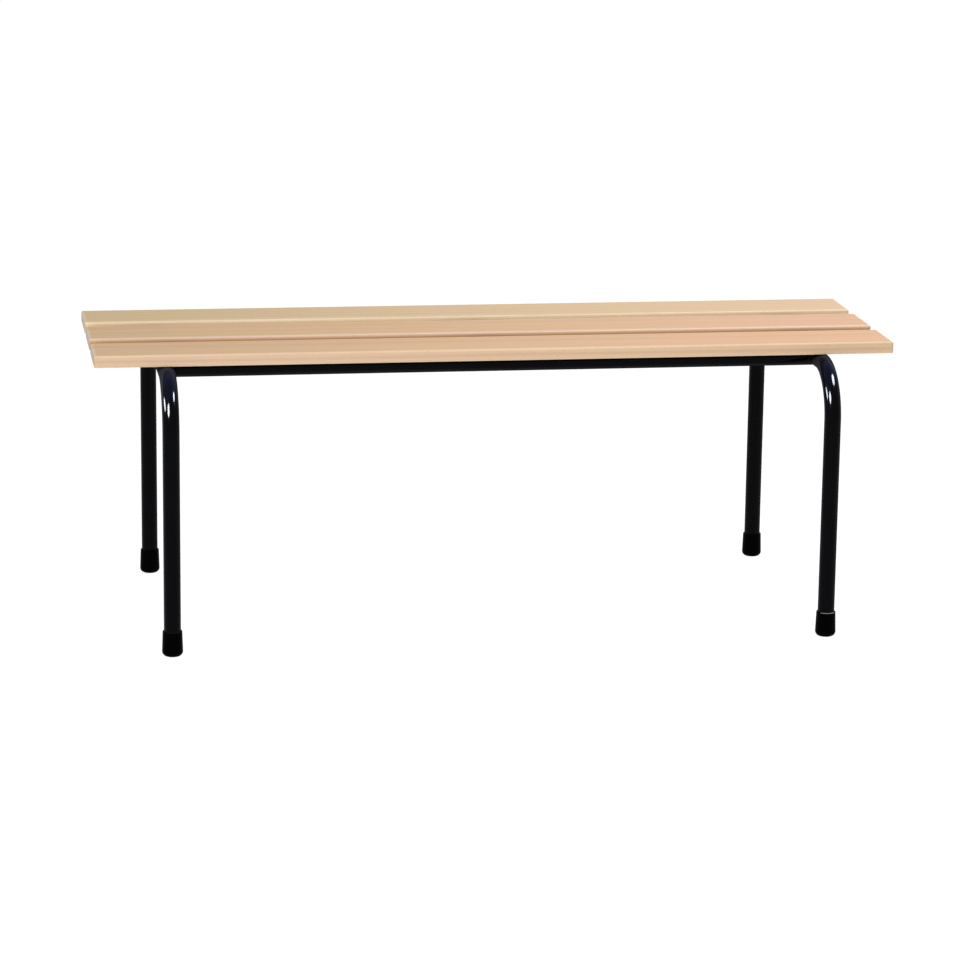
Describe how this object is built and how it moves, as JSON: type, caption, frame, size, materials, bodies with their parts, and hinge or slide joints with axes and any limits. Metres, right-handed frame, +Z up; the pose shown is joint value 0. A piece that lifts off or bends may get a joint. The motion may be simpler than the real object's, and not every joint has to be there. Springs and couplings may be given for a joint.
{
  "type": "stacking bench",
  "caption": "Backless slatted bench seat on two bent tube end frames with rubber feet; the legs stand outside the seat so that benches stack.",
  "frame": {"origin": "on the floor under the middle of the seat", "axes": "+X along the slats to the right, +Y from the front edge to the rear edge, +Z up"},
  "size_m": [1.2, 0.521, 0.438],
  "materials": {
    "beech": "clear satin lacquer on planed hardwood",
    "enamel": "gloss black stove enamel on steel tube",
    "rubber": "matt moulded rubber",
    "zinc": "black zinc plated"
  },
  "bodies": {
    "root": {"slat_front": "beech", "slat_middle": "beech", "slat_rear": "beech", "end_frame_left": "enamel", "end_frame_right": "enamel", "rail_front": "enamel", "rail_rear": "enamel", "centre_strut": "enamel", "weld_beads_left": "enamel", "weld_beads_right": "enamel", "weld_beads_centre": "enamel", "screws_left": "zinc", "screws_right": "zinc", "screws_centre": "zinc", "foot_front_left": "rubber", "foot_front_right": "rubber", "foot_rear_left": "rubber", "foot_rear_right": "rubber"}
  },
  "joints": []
}
